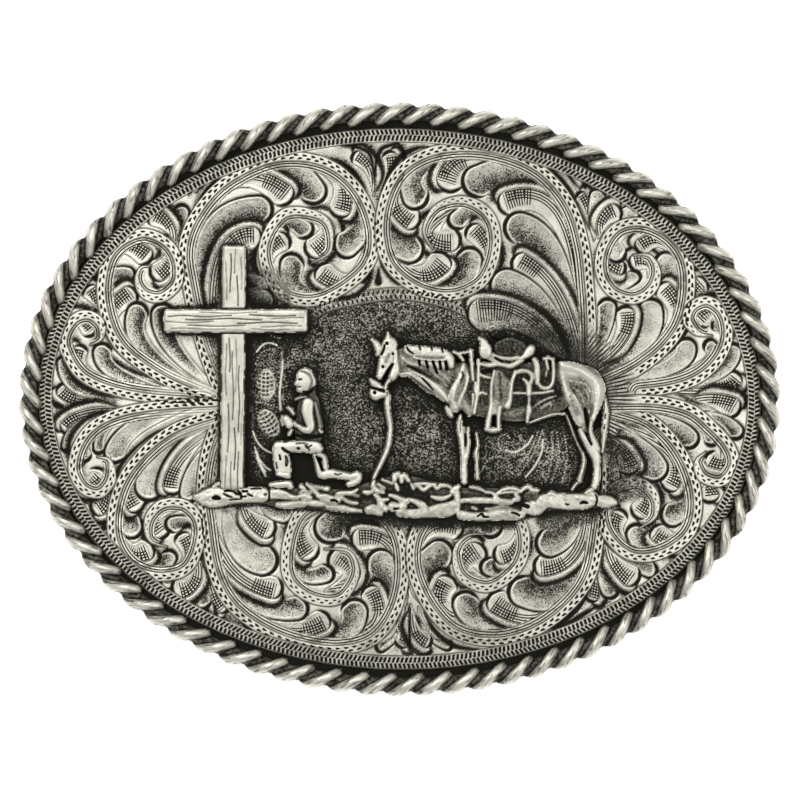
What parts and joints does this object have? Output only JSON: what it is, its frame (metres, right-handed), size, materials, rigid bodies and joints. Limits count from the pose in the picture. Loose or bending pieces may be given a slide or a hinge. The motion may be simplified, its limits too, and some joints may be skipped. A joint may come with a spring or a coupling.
{
  "type": "western belt buckle",
  "caption": "Oval cast belt buckle in aged silver with raised scrollwork, a rope edge, a kneeling rider and a saddled horse at a cross, and a fixed belt loop and post behind.",
  "frame": {"origin": "on the floor under the middle of the oval face, with the buckle lying on its back", "axes": "+X along the oval's long axis, to the right seen from the front; +Y to the top of the face; +Z out of the front of the face"},
  "size_m": [0.0954, 0.0742, 0.0157],
  "materials": {
    "aged_silver": "bright worn highs over dark oxidised recesses",
    "plain_silver": "plain satin, lightly aged"
  },
  "bodies": {
    "root": {"plate": "aged_silver", "rope_edge": "aged_silver", "ground": "aged_silver", "cross": "aged_silver", "kneeling_rider": "aged_silver", "saddled_horse": "aged_silver", "belt_loop": "plain_silver", "belt_post": "plain_silver"}
  },
  "joints": []
}
